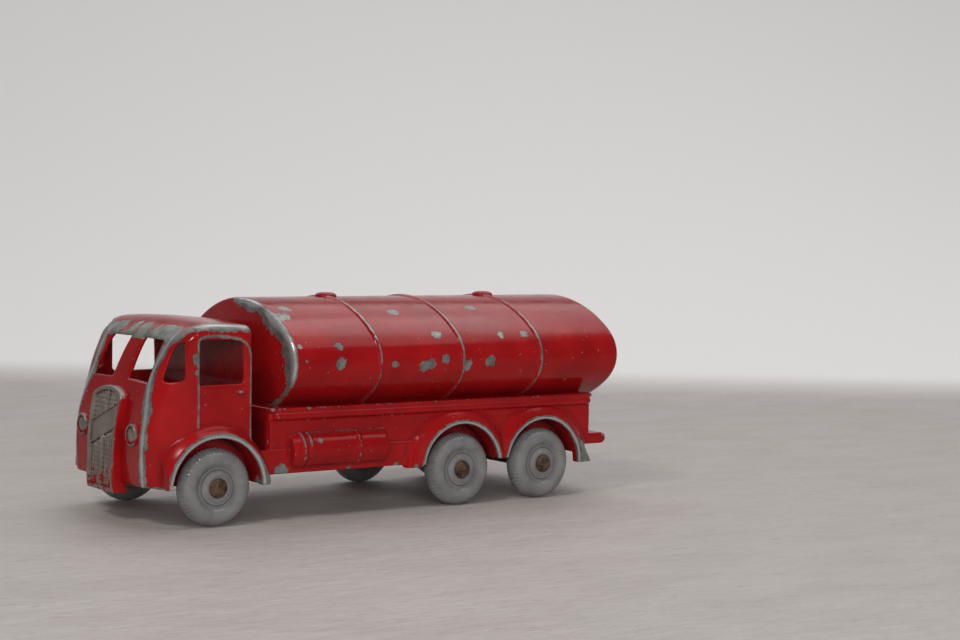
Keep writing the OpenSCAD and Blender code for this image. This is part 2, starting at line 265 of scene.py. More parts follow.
def finish_piece(ob, body, slot, material, *nodes):
    """Gives a piece its material and body, and hides the CAD nodes that it stands in for."""
    ob.data.materials.clear()
    ob.data.materials.append(material)
    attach(ob, body)
    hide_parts(*nodes)


# -------- shader helpers

def shader(name):
    """A new material, its node tree and its Principled shader."""
    mat = bpy.data.materials.new(name)
    mat.use_nodes = True
    t = mat.node_tree
    t.nodes.clear()
    out = t.nodes.new("ShaderNodeOutputMaterial")
    bsdf = t.nodes.new("ShaderNodeBsdfPrincipled")
    t.links.new(bsdf.outputs[0], out.inputs[0])
    return mat, t, bsdf


def plug(t, socket, value):
    """Links a socket into an input, or sets a plain value there."""
    if isinstance(value, bpy.types.NodeSocket):
        t.links.new(value, socket)
    else:
        socket.default_value = value


def calc(t, op, a, b=0.0, clamp=False):
    n = t.nodes.new("ShaderNodeMath")
    n.operation = op
    n.use_clamp = clamp
    plug(t, n.inputs[0], a)
    plug(t, n.inputs[1], b)
    return n.outputs[0]


def noise(t, scale, detail, rough, stretch=None, seed=0.0):
    """Noise in object space; the seed shifts it."""
    tc = t.nodes.new("ShaderNodeTexCoord")
    mp = t.nodes.new("ShaderNodeMapping")
    mp.inputs["Location"].default_value = (seed, seed * 0.7, seed * 1.3)
    if stretch:
        mp.inputs["Scale"].default_value = stretch
    t.links.new(tc.outputs["Object"], mp.inputs["Vector"])
    n = t.nodes.new("ShaderNodeTexNoise")
    n.inputs["Scale"].default_value = scale
    n.inputs["Detail"].default_value = detail
    n.inputs["Roughness"].default_value = rough
    t.links.new(mp.outputs[0], n.inputs["Vector"])
    return n.outputs[0]


def ramp(t, value, lo, hi, a=0.0, b=1.0):
    """Soft step from a to b while the value goes from lo to hi."""
    n = t.nodes.new("ShaderNodeMapRange")
    n.interpolation_type = "SMOOTHSTEP"
    plug(t, n.inputs[0], value)
    for k, v in enumerate((lo, hi, a, b)):
        plug(t, n.inputs[k + 1], v)
    return n.outputs[0]


def mix(t, fac, a, b):
    n = t.nodes.new("ShaderNodeMix")
    n.data_type = "RGBA"
    plug(t, n.inputs[0], fac)
    for socket, v in ((n.inputs[6], a), (n.inputs[7], b)):
        plug(t, socket, v if isinstance(v, bpy.types.NodeSocket) else (*v, 1.0))
    return n.outputs[2]


def attribute(t, name):
    n = t.nodes.new("ShaderNodeAttribute")
    n.attribute_name = name
    return n.outputs["Fac"]


def bump(t, height, distance, strength=1.0, normal=None):
    n = t.nodes.new("ShaderNodeBump")
    n.inputs["Distance"].default_value = distance
    n.inputs["Strength"].default_value = strength
    t.links.new(height, n.inputs["Height"])
    if normal is not None:
        t.links.new(normal, n.inputs["Normal"])
    return n.outputs[0]


# Colours. The darkest enamel, zinc and plastic colours are painted shade with some grime; the polished zinc
# colour is partly a painted highlight.
RED_DEEP, RED_BRIGHT = (0.208, 0.0038, 0.005), (0.282, 0.006, 0.0068)
RED_DUSTY, RED_EDGE, RED_SHADE_GRIME = (0.18, 0.026, 0.024), (0.12, 0.006, 0.008), (0.055, 0.006, 0.007)
ZINC_DARK, ZINC_PALE, ZINC_PIT = (0.15, 0.155, 0.142), (0.29, 0.295, 0.28), (0.06, 0.055, 0.045)
ZINC_POLISHED_HIGHLIGHT, ZINC_WARM, ZINC_SHADE_GRIME = (0.5, 0.515, 0.53), (0.26, 0.19, 0.155), (0.05, 0.038, 0.03)
PLASTIC_DARK, PLASTIC_PALE = (0.118, 0.117, 0.118), (0.175, 0.173, 0.174)
PLASTIC_DIRT, PLASTIC_SHADE_GRIME = (0.13, 0.115, 0.10), (0.055, 0.047, 0.04)
RUST_DARK, RUST_PALE, STEEL_BRIGHT = (0.03, 0.017, 0.01), (0.11, 0.06, 0.036), (0.26, 0.22, 0.18)


def zinc_colour(t, seed):
    """Blotched die-cast zinc with small dark pits."""
    blotch = ramp(t, noise(t, 700, 5, 0.6, seed=seed + 1), 0.35, 0.68)
    pits = ramp(t, noise(t, 3800, 3, 0.6, seed=seed + 2), 0.6, 0.72)
    base = mix(t, blotch, ZINC_DARK, ZINC_PALE)
    return mix(t, pits, base, ZINC_PIT)


def paint_material(name, seed, speck=0.735, warm=0.0):
    """Gloss red enamel over grey zinc. The wear attribute says where the zinc shows; where it is highest the
    zinc is lightened, polish with a painted highlight. The second attribute is painted shade with some
    grime; warm tints the zinc."""
    mat, t, bsdf = shader(name)
    wear, hollow_shade_grime = attribute(t, "wear"), attribute(t, "hollow_shade_grime")
    ragged = calc(t, "MULTIPLY", calc(t, "SUBTRACT", noise(t, 1150, 6, 0.62, seed=seed), 0.5), 1.3)
    fine = calc(t, "MULTIPLY", calc(t, "SUBTRACT", noise(t, 4200, 3, 0.6, seed=seed + 3), 0.5), 0.3)
    worn = calc(t, "ADD", calc(t, "ADD", wear, ragged), fine)
    bare = ramp(t, worn, 0.56, 0.6)
    specks = ramp(t, noise(t, 2100, 2, 0.5, seed=seed + 7), speck, speck + 0.02)
    bare = calc(t, "MAXIMUM", bare, calc(t, "MULTIPLY", specks, 0.85))
    rim = calc(t, "MULTIPLY", ramp(t, worn, 0.5, 0.56), 0.55)

    shade = ramp(t, noise(t, 160, 4, 0.55, seed=seed + 5), 0.3, 0.7)
    red = mix(t, shade, RED_DEEP, RED_BRIGHT)
    dusty = ramp(t, noise(t, 520, 6, 0.7, seed=seed + 9), 0.6, 0.85, 0.0, 0.1)
    red = mix(t, dusty, red, RED_DUSTY)
    red = mix(t, rim, red, RED_EDGE)
    # Painted shade with some grime: recesses, insides and undersides turn dark red and dark zinc, and a
    # little rougher
    shade_grime_mix = calc(t, "MULTIPLY", hollow_shade_grime, 0.85, clamp=True)
    red = mix(t, shade_grime_mix, red, RED_SHADE_GRIME)
    # Painted highlight: the most worn, polished zinc is lightened to stand in for its shine
    polish_highlight = ramp(t, wear, 0.95, 1.3, 0.0, 0.55 if warm else 0.8)
    zinc = mix(t, polish_highlight, zinc_colour(t, seed), ZINC_POLISHED_HIGHLIGHT)
    if warm:
        zinc = mix(t, warm, zinc, ZINC_WARM)
    zinc = mix(t, shade_grime_mix, zinc, ZINC_SHADE_GRIME)
    plug(t, bsdf.inputs["Base Color"], mix(t, bare, red, zinc))
    plug(t, bsdf.inputs["Metallic"], calc(t, "MULTIPLY", bare, 0.65))
    gloss = ramp(t, noise(t, 380, 5, 0.65, seed=seed + 11), 0.3, 0.75, 0.12, 0.24)
    gloss = calc(t, "ADD", gloss, calc(t, "MULTIPLY", shade_grime_mix, 0.3))
    metal = ramp(t, noise(t, 1500, 4, 0.6, seed=seed + 13), 0.3, 0.7, 0.34, 0.48)
    metal = calc(t, "SUBTRACT", metal, ramp(t, wear, 0.85, 1.25, 0.0, 0.14))
    rough = t.nodes.new("ShaderNodeMix")
    for k, v in ((0, bare), (2, gloss), (3, metal)):
        plug(t, rough.inputs[k], v)
    plug(t, bsdf.inputs["Roughness"], rough.outputs[0])
    peel = calc(t, "ADD", noise(t, 700, 2, 0.4, seed=seed + 15),
                calc(t, "MULTIPLY", noise(t, 5200, 3, 0.6, seed=seed + 17), calc(t, "ADD", bare, 0.12)))
    skin = bump(t, peel, 0.000022)
    coat = bump(t, calc(t, "SUBTRACT", 1.0, bare), 0.00005, 1.0, skin)
    plug(t, bsdf.inputs["Normal"], coat)
    bsdf.inputs["Specular IOR Level"].default_value = 0.2
    return mat


def zinc_material(name, seed):
    """Bare zinc, for the rivets."""
    mat, t, bsdf = shader(name)
    plug(t, bsdf.inputs["Base Color"], zinc_colour(t, seed))
    bsdf.inputs["Metallic"].default_value = 0.65
    plug(t, bsdf.inputs["Roughness"], ramp(t, noise(t, 1500, 4, 0.6, seed=seed), 0.3, 0.7, 0.34, 0.55))
    plug(t, bsdf.inputs["Normal"], bump(t, noise(t, 4200, 4, 0.6, seed=seed), 0.00003))
    return mat


def plastic_material(name, seed):
    """Grey moulded plastic, glossy, with random dirt, and painted shade with some grime in its grooves."""
    mat, t, bsdf = shader(name)
    cloud = ramp(t, noise(t, 330, 4, 0.6, seed=seed), 0.3, 0.7)
    base = mix(t, cloud, PLASTIC_DARK, PLASTIC_PALE)
    dirt = ramp(t, noise(t, 1300, 6, 0.7, seed=seed + 2), 0.58, 0.75, 0.0, 0.55)
    base = mix(t, dirt, base, PLASTIC_DIRT)
    # Painted shade with some grime, from the vertex attribute
    shade_grime_mix = calc(t, "MULTIPLY", attribute(t, "hollow_shade_grime"), 1.0, clamp=True)
    base = mix(t, shade_grime_mix, base, PLASTIC_SHADE_GRIME)
    plug(t, bsdf.inputs["Base Color"], base)
    plug(t, bsdf.inputs["Roughness"], ramp(t, noise(t, 900, 5, 0.6, seed=seed + 4), 0.3, 0.75, 0.08, 0.2))
    plug(t, bsdf.inputs["Normal"], bump(t, noise(t, 1400, 4, 0.6, seed=seed + 6), 0.00003))
    bsdf.inputs["Subsurface Weight"].default_value = 0.06
    bsdf.inputs["Subsurface Radius"].default_value = (0.001, 0.001, 0.001)
    return mat


def rust_material(name, seed):
    """Rusty steel, rubbed bright in places."""
    mat, t, bsdf = shader(name)
    patch = ramp(t, noise(t, 1600, 5, 0.65, seed=seed), 0.38, 0.62)
    base = mix(t, patch, RUST_DARK, RUST_PALE)
    bright = ramp(t, noise(t, 2600, 4, 0.6, seed=seed + 2), 0.6, 0.7, 0.0, 0.6)
    plug(t, bsdf.inputs["Base Color"], mix(t, bright, base, STEEL_BRIGHT))
    plug(t, bsdf.inputs["Metallic"], ramp(t, noise(t, 2600, 4, 0.6, seed=seed + 2), 0.55, 0.7, 0.25, 0.8))
    plug(t, bsdf.inputs["Roughness"], ramp(t, patch, 0.0, 1.0, 0.6, 0.3))
    plug(t, bsdf.inputs["Normal"], bump(t, noise(t, 3500, 4, 0.65, seed=seed), 0.00006))
    return mat


# -------- forms that the castings share

def painted(ob, name, seed, *nodes, speck=0.735):
    finish_piece(ob, "body", "body_paint", paint_material(name, seed, speck), *nodes)


def arch_distance(x, z, axle_x):
    return length(x - axle_x, z - WHEEL_Z)


def open_wells(body, rho, ay, z, web_bottom):
    """Clears the wheel wells, then adds the webs with their lugs and bores the axle's hole."""
    body = cut(body, -np.maximum(rho - WELL_R, WEB_OUT - ay), 0.1)
    plate = np.abs(ay - WEB_MIDDLE) - WEB_HALF
    web = np.maximum(np.maximum(rho - WEB_R, plate), web_bottom - z)
    lug = np.maximum(rho - LUG_R, plate)
    body = np.minimum(body, np.minimum(web, lug))
    return np.maximum(body, BORE_R - rho)


# -------- cab

# The face is part of a drum that lies across the truck
FRONT_R, FRONT_Z = 25.0, 7.5
FRONT_X = 7.6 - FRONT_R
DOOR_FRONT = 2.1
WALL = 1.0
WALL_THINNED = 0.45

# Outlines as (y, z) in the face and (x, z) in the side
PANE = [(1.62, 20.15), (6.6, 20.1), (6.95, 15.6), (1.95, 15.75)]
DOOR_PANE = [(1.95, 15.45), (1.95, 20.4), (-3.35, 20.3), (-3.5, 15.5)]
DOOR_PANE_Z, DOOR_PANE_R = 17.9, 0.45
# The quarter lights are cut square to the rounded corner: along the corner's surface, and up
CORNER = math.radians(36)
QUARTER_PANE = [(-3.55, 16.1), (-3.5, 20.1), (-2.95, 20.2), (-2.5, 19.95), (-1.98, 19.2), (-1.65, 18.2),
                (-1.2, 16.9), (-1.0, 15.95), (-1.75, 15.72), (-3.1, 15.9)]
DOOR_LINE = [(2.1, 10.9), (2.1, 20.3), (1.75, 20.62), (1.2, 20.75), (0.2, 20.82), (-1.65, 20.65),
             (-2.9, 20.35), (-3.7, 19.9), (-4.1, 19.35), (-4.3, 18.6), (-4.32, 8.6)]
HANDLE = [(-2.55, 14.62), (-3.45, 14.55)]


def drum_gap(x, z):
    """How far a place stands in front of the face's drum."""
    return length(x - FRONT_X, z - FRONT_Z) - FRONT_R


def front_x(z):
    return FRONT_X + np.sqrt(FRONT_R ** 2 - (z - FRONT_Z) ** 2)


def crease_y(z):
    """Half the face's width, where it turns into the corner."""
    return 8.62 - 1.12 * smooth((z - 11.4) / 5.2) + 0.6 * smooth((z - 16.6) / 4)


def cab_body(x, y, z, inset):
    """The cab's outer form; inset draws every wall in."""
    ay = np.abs(y)
    face = drum_gap(x, z) + inset
    # The corner is an arc from the door's front to the crease
    zz = np.clip(z, CAB_BOTTOM, 21.5)
    dx = front_x(zz) - DOOR_FRONT
    dy = SIDE - crease_y(zz)
    k = np.minimum(dx, dy)
    r = (dx * dx + k * k) / (2 * k)
    centre = SIDE - r * dy / k
    forward, sideways = np.maximum(x - DOOR_FRONT, 0), np.maximum(ay - centre, 0) * k / dy
    wall = length(forward, sideways) - r + inset
    flat_side = ay - SIDE + inset
    wall = np.where(x <= DOOR_FRONT, flat_side, np.maximum(wall, flat_side))
    roof = z - (22.58 - 0.3 * (y / 9.5) ** 2 - 0.012 * (x - 0.5) ** 2) + inset
    back = CAB_BACK - x + inset
    shoulder = 1.3 + 1.1 * smooth((x - 0.8) / 2.8)
    d = cut(cut(face, roof, 2.4), cut(wall, roof, shoulder), 0.35)
    return cut(d, back, 0.5)


def front_wing(x, ay, z):
    """A flared ring round the wheel, and a tail behind it."""
    rho = arch_distance(x, z, 0.0)
    flare = polygon(rho, ay, [(WELL_R, 7.9), (WELL_R, LIP_Y), (5.9, LIP_Y), (6.15, 12.0), (6.45, 11.6),
                              (6.75, 11.15), (7.1, 10.0), (7.2, 9.0), (6.1, 8.6), (6.1, 7.9)])
    flare = cut(flare, CAB_BOTTOM - z, 0.12)
    flare = np.maximum(flare, x - 6.05)
    flare = np.maximum(flare, -6.6 - x)
    tail = polygon(x, z, [(-6.5, CAB_BOTTOM), (-6.5, 5.0), (-5.6, 6.8), (-4.6, 8.2), (-3.9, 8.0),
                          (-3.9, CAB_BOTTOM)])
    return join(flare, cut(tail, np.abs(ay - 11.65) - 0.55, 0.12), 0.2)


def cut_windows(cab, x, y, z):
    """Cuts every window, each with a slightly rounded edge."""
    ay = np.abs(y)
    panes = np.minimum(polygon(y, z, PANE), polygon(-y, z, PANE)) - 0.02
    cab = cut(cab, -np.maximum(panes, 1.8 - x), 0.22)
    small = [(a * 0.84 - 0.08, DOOR_PANE_Z + (b - DOOR_PANE_Z) * 0.8) for a, b in DOOR_PANE]
    doors = polygon(x, z, small) - DOOR_PANE_R
    cab = cut(cab, -np.maximum(doors, 8.5 - ay), 0.22)
    along = x * math.cos(CORNER) - ay * math.sin(CORNER)
    outward = x * math.sin(CORNER) + ay * math.cos(CORNER)
    quarters = polygon(along + 0 * z, z + 0 * along, QUARTER_PANE) + 0.1
    return cut(cab, -np.maximum(quarters, 8.9 - outward), 0.2)


def cab_field(x, y, z):
    ay = np.abs(y)
    inner = cab_body(x, y, z, WALL - WALL_THINNED * smooth((z - 14.4) / 1.2))
    cab = np.maximum(cut(cab_body(x, y, z, 0.0), CAB_BOTTOM - z, 0.25), -inner)
    cab = join(cab, front_wing(x, ay, z), 0.3)
    cab = open_wells(cab, arch_distance(x, z, 0.0), ay, z, CAB_BOTTOM)
    cab = cut_windows(cab, x, y, z)
    door_line = length(polyline(x, z, DOOR_LINE), ay - SIDE + 0.03) - 0.13
    cab = join(cab, door_line, 0.12)
    handle = length(polyline(x, z, HANDLE), ay - SIDE - 0.08) - 0.16
    return join(cab, handle, 0.06)


# Worn line over the door and round the roof's front corner, as (x, y, z) on the left side
ROOF_PATH = [(-4.4, 10.75, 21.95), (1.2, 10.6, 21.95), (2.6, 10.0, 21.75), (3.7, 9.2, 21.2),
             (4.5, 8.3, 20.2), (4.8, 7.9, 19.2)]
# Where red is left on the worn roof front, as (place across, width)
RED_STREAKS = [(-8.4, 0.5), (-4.4, 0.9), (-1.8, 0.35), (1.5, 0.8), (3.2, 0.3)]
# Chips here and below are (x, y, z, radius)
CAB_CHIPS = [
    (5.9, 10.1, 14.9, 0.45), (2.1, 11.2, 18.3, 0.55), (2.15, 11.2, 16.9, 0.35), (-3.0, 11.5, 14.65, 0.2),
    (7.2, 8.6, 14.3, 0.6), (7.4, 8.9, 12.0, 0.6), (7.3, 8.9, 9.0, 0.5), (7.5, 8.7, 5.2, 0.6),
    (5.3, 10.4, 20.2, 0.8), (4.4, -10.4, 13.5, 0.9), (-1.0, -11.2, 12.2, 0.8), (-4.4, -9.5, 18.0, 0.9),
    (-4.4, 3.0, 20.8, 1.1), (7.2, -5.0, 15.0, 0.3), (0.5, -11.2, 9.4, 0.6)]


def roof_front_wear(x, y, z):
    """Bare metal along the roof's front, crossed by slanting streaks of red."""
    brow = smooth((z - 19.85) / 0.3) * smooth((x - 1.6) / 1.2) * smooth((8.6 - np.abs(y)) / 0.6)
    slant = y + 0.9 * (x - 3.5) + 0.25 * np.sin(x * 3.1)
    streaks = sum(bell(slant - c, w) for c, w in RED_STREAKS)
    streaks = streaks * smooth((z - 20.6 - 0.08 * y) / 0.5)
    return brow * (0.96 - 0.95 * np.clip(streaks, 0, 1)) * smooth((22.2 - 0.02 * y - z) / 0.4)


def path_gap(points, path):
    """Distance to an open line in space."""
    gap = np.full(len(points), 9.0)
    for a, b in zip(path[:-1], path[1:]):
        a, b = np.array(a), np.array(b)
        q = points - a
        along = np.clip(q @ (b - a) / ((b - a) @ (b - a)), 0, 1)
        gap = np.minimum(gap, np.linalg.norm(q - along[:, None] * (b - a), axis=1))
    return gap


def cab_wear(p, edge):
    x, y, z = p.T
    ay = np.abs(y)
    ridge_gap = length(x - front_x(np.clip(z, 3, 22)), ay - crease_y(z))
    width = 0.5 + 0.22 * smooth((z - 9) / 5) + 0.08 * np.sin(z * 2.1)
    ridge = SHOWS + 0.9 * (width - ridge_gap) / width
    roof = SHOWS + 0.8 * (0.72 - path_gap(np.stack([x, ay, z], 1), ROOF_PATH))
    bottom = 0.66 * smooth((CAB_BOTTOM + 0.4 - z) / 0.2) * (x > 4) * (ay > 7)
    door_gap = length(polyline(x, z, DOOR_LINE), ay - SIDE - 0.1)
    door = 0.52 + 0.48 * (1 - door_gap / (0.14 + 0.06 * smooth((z - 18) / 2)))
    lip_r = arch_distance(x, z, 0.0)
    lip = (SHOWS + 0.9 * (0.33 - np.abs(lip_r - 5.66)) / 0.33) * (ay > LIP_Y - 0.35)
    lip = np.where(ay > LIP_Y - 0.3, np.maximum(lip, 0.8 * (x < -5.3) * (z < 7.5)), lip)
    tail = 0.95 * smooth((5.9 - z) / 0.8) * smooth((-5.0 - x) / 0.6) * (ay > 10.5)
    wear = 0.42 * np.clip(edge, 0, 1)
    for rule in (ridge, roof_front_wear(x, y, z), roof, bottom, door, lip, tail, spots(p, CAB_CHIPS)):
        wear = np.maximum(wear, np.clip(rule, 0, MOST_WEAR))
    return wear


def make_cab():
    h = 0.13
    ob = voxel_piece("cab", cab_field, (-8.2, -13.2, 3.0), (10.0, 13.2, 23.6), h)
    p = local_mm(ob.data)
    edge = edges_of(ob, 0.4, h)
    # Painted shade: creases, and the cab's inside, are darkened through the second attribute
    outside = smooth((cab_body(*p.T, 0.0) + 0.6) / 0.3)
    mark(ob, cab_wear(p, edge) * outside, np.clip(-edge, 0, 1) * 0.9 + 0.35 * (1 - outside))
    painted(ob, "cab_enamel", 2.0, "cab_shell", "front_wing_left", "front_wing_right")


# -------- radiator grille

GRILLE_BOTTOM, GRILLE_HALF = 3.2, 3.35
GRILLE_ARC_R, GRILLE_ARC_Z = 7.6, 7.25
RIB_PITCH, CROSS_PITCH = 0.62, 0.5
STRAP = [(3.9, 13.5), (-3.9, 10.3), (-3.9, 7.7), (3.9, 10.8)]


def grille_relief(cols, rows, outline):
    """How far the grille stands out of the cab's face: a rim, fine ribs and a blank slanting strap."""
    rim = smooth((outline + 0.62) / 0.22)
    inside = 1 - rim
    strap = polygon(cols, rows, STRAP)
    on_strap = smooth(-strap / 0.12)
    ribs = np.cos(cols * 2 * math.pi / RIB_PITCH) * 0.13 + np.cos(rows * 2 * math.pi / CROSS_PITCH) * 0.03
    centre = 0.3 * bell(cols, 0.2)
    height = 0.42 + 0.42 * rim + inside * (1 - on_strap) * (ribs + centre) + inside * on_strap * 0.17
    height = height + 0.35 * smooth((7.5 - rows) / 4)
    height = height - 0.2 * bell(strap, 0.11) * inside
    return height - 0.07 * bell(rows - 4.6, 0.14) * inside


def grille_field(x, y, z):
    cols, rows = y[0], z[0]
    outline = polygon(cols, rows, [(-GRILLE_HALF, GRILLE_BOTTOM), (GRILLE_HALF, GRILLE_BOTTOM), (3.7, 15.2),
                                   (-3.7, 15.2)])
    outline = cut(outline, length(cols, rows - GRILLE_ARC_Z) - GRILLE_ARC_R, 0.5)
    radial = length(x - FRONT_X, z - FRONT_Z)
    height = grille_relief(cols, rows, outline)
    grille = cut(radial - FRONT_R - height[None], outline[None] + 0 * x, 0.18)
    return np.maximum(grille, FRONT_R - 0.6 - radial)


def grille_wear(p, edge):
    """Bare over the raised parts, with red left in the hollows, on the sides and towards the foot."""
    x, y, z = p.T
    front = smooth((drum_gap(x, z) - 0.15) / 0.25)
    half = GRILLE_HALF + 0.35 * (z - GRILLE_BOTTOM) / 12
    side_face = smooth((np.abs(y) - half + 0.14) / 0.1) * (z < 13.6)
    wear = front * (1.02 - 0.42 * np.clip(-edge * 1.3, 0, 1)) * (1 - 0.85 * side_face)
    wear *= 1 - 0.3 * smooth((9.5 - z) / 5) - 0.12 * smooth((4.8 - z) / 0.3)
    return np.maximum(wear, 0.75 * np.clip(edge, 0, 1) * front)


def make_grille():
    h = 0.07
    ob = voxel_piece("radiator_grille_front", grille_field, (2.4, -4.2, 2.7), (9.3, 4.2, 15.5), h)
    edge = edges_of(ob, 0.16, h)
    # The second attribute is painted shade with some grime, darkening the grille's recesses between the ribs
    mark(ob, grille_wear(local_mm(ob.data), edge), 0.9 * np.clip(-edge * 1.8, 0, 1))
    enamel = paint_material("grille_enamel", 9.0, 0.8, 0.55)
    finish_piece(ob, "body", "bare_zinc", enamel, "radiator_grille")


# -------- turned pieces

def rounded(points, r, steps=5):
    """Rounds the inner corners of an open profile."""
    out = [points[0]]
    for a, b, c in zip(points[:-2], points[1:-1], points[2:]):
        a, b, c = np.array(a), np.array(b), np.array(c)
        u, v = a - b, c - b
        lu, lv = np.linalg.norm(u), np.linalg.norm(v)
        q = min(r, lu * 0.48, lv * 0.48)
        s, e = b + u / lu * q, b + v / lv * q
        for i in range(steps + 1):
            w = i / steps
            out.append(tuple((1 - w) ** 2 * s + 2 * w * (1 - w) * b + w * w * e))
    out.append(points[-1])
    return out


def turned(name, profile, origin, axis, n, closed=False, crown=None):
    """Turns a profile of (radius, distance along the axis) into a mesh."""
    axis = Vector(axis).normalized()
    side = axis.orthogonal().normalized()
    up = axis.cross(side)
    rows, points, faces = [], [], []
    for r, a in profile:
        steps = 1 if r == 0 else n
        rows.append(range(len(points), len(points) + steps))
        for i in range(steps):
            ang = 2 * math.pi * i / n
            rr = r + (crown(r, a, ang) if crown else 0.0)
            points.append(Vector(origin) + axis * a + (side * math.cos(ang) + up * math.sin(ang)) * rr)
    pairs = list(zip(rows[:-1], rows[1:])) + ([(rows[-1], rows[0])] if closed else [])
    for a, b in pairs:
        for i in range(n):
            j = (i + 1) % n
            if len(a) == 1:
                faces.append((a[0], b[j], b[i]))
            elif len(b) == 1:
                faces.append((a[i], a[j], b[0]))
            else:
                faces.append((a[i], a[j], b[j], b[i]))
    points = np.array([tuple(v) for v in points])
    return make_mesh(name, points, facing_out(points, faces))


# Profiles of (radius, distance along the axis)
TYRE_ROUND = [(3.1, 1.4), (3.45, 1.33), (3.75, 1.15), (4.0, 0.88), (4.2, 0.5), (4.3, 0.15)]
WHEEL_SECTION = rounded(
    [(BORE_R, 1.26), (1.5, 1.26), (1.6, 1.14), (1.86, 1.14), (1.94, 0.98), (2.12, 0.96), (2.3, 0.98),
     (2.5, 1.16), (2.78, 1.34)] + TYRE_ROUND + [(r, -a) for r, a in reversed(TYRE_ROUND)]
    + [(2.78, -1.34), (2.5, -1.15), (1.3, -1.12), (BORE_R, -1.12)], 0.3, 4)
WHEEL_STEPS = 324
RIBS, RIB_HEIGHT = 54, 0.038
HEAD_STICKS_OUT = 0.42
LAMP = rounded([(0.0, 1.02), (0.45, 0.98), (0.78, 0.86), (0.84, 0.72), (0.92, 0.72), (0.98, 0.96),
                (1.1, 1.0), (1.24, 0.86), (1.34, 0.5), (1.38, 0.0), (0.0, 0.0)], 0.08, 4)
LAMP_GROOVE = 0.88
LID_HEIGHT = 0.6
LID = rounded([(0.0, LID_HEIGHT), (0.7, 0.57), (1.1, 0.46), (1.32, 0.25), (1.36, -0.5), (0.0, -0.5)], 0.12)


def tread(r, a, ang):
    """Shallow cross ribs, highest at the shoulders of the tyre."""
    share = 0.35 + 0.65 * min(1.0, abs(a) / 0.7)
    return RIB_HEIGHT * math.cos(RIBS * ang) * float(smooth((r - 3.6) / 0.4)) * share


def make_wheel(axle, x, hand, side, material):
    wheel = "wheel_%s_%s" % (axle, hand)
    y = middle(wheel)[1]
    ob = turned("tyre_%s_%s" % (axle, hand), WHEEL_SECTION, (x, y, WHEEL_Z), (0, side, 0), WHEEL_STEPS,
                closed=True, crown=tread)
    p = local_mm(ob.data)
    r = arch_distance(p[:, 0], p[:, 2], x)
    depth = side * (p[:, 1] - y)
    # Painted shade on the wheel: dark in the hub's groove and round its boss, on the face towards the truck
    # and at the bore
    groove = (bell(r - 1.98, 0.09) + 0.3 * bell(r - 2.3, 0.16)) * (depth > 0)
    inner_face_shade = 0.4 * smooth(-depth / 0.8) + 0.3 * smooth((1.1 - r) / 0.2)
    hub_ring_shade = 0.5 * bell(r - 1.14, 0.1) * (depth > 0)
    mark(ob, 0, np.clip(0.62 * groove + inner_face_shade + hub_ring_shade, 0, 1))
    finish_piece(ob, wheel, "wheel_plastic", material, wheel)


def make_spindle(axle, x, material):
    """The axle, with a domed head at either end."""
    half = high("axle_" + axle)[1] - HEAD_STICKS_OUT
    dome = [(0.0, half + HEAD_STICKS_OUT), (0.35, half + 0.4), (0.68, half + 0.31), (0.95, half + 0.15),
            (1.08, half + 0.02), (1.0, half - 0.02), (0.8, half - 0.02)]
    section = dome + [(r, -a) for r, a in reversed(dome)]
    ob = turned("spindle_" + axle, section, (x, 0, WHEEL_Z), (0, 1, 0), 64)
    mark(ob, 0, 0)
    finish_piece(ob, "axle_" + axle, "axle_steel", material, "axle_" + axle)


def make_lamp(hand, side):
    node = "headlamp_" + hand
    _, y, z = middle(node)
    ob = turned("lamp_" + hand, LAMP, (low(node)[0] - FRONT_AXLE, y, z), (1, 0, 0), 96)
    p = local_mm(ob.data)
    r = length(p[:, 1] - y, p[:, 2] - z)
    lower = smooth((z - p[:, 2]) / 0.7) * smooth((r - 0.55) / 0.3)
    # Painted shade, with some grime, in the lamp's ring groove
    groove = bell(r - LAMP_GROOVE, 0.09)
    mark(ob, 0.74 - 0.55 * groove - 0.5 * smooth((r - 1.24) / 0.1) - 0.16 * lower, 0.6 * groove)
    finish_piece(ob, "body", "bare_zinc", paint_material("lamp_enamel_" + hand, 14.0 + side, 0.8, 0.2), node)


def make_lid(hand):
    """One of the two filler caps."""
    node = "filler_cap_" + hand
    x, y, _ = middle(node)
    ob = turned("tank_lid_" + hand, LID, (x - FRONT_AXLE, y, high(node)[2] - LID_HEIGHT), (0, 0, 1), 96)
    p = local_mm(ob.data)
    r = length(p[:, 0] + FRONT_AXLE - x, p[:, 1] - y)
    mark(ob, 0.42 * bell(r - 1.22, 0.18), 0)
    painted(ob, "lid_enamel_" + hand, 20.0, node)


# -------- tank

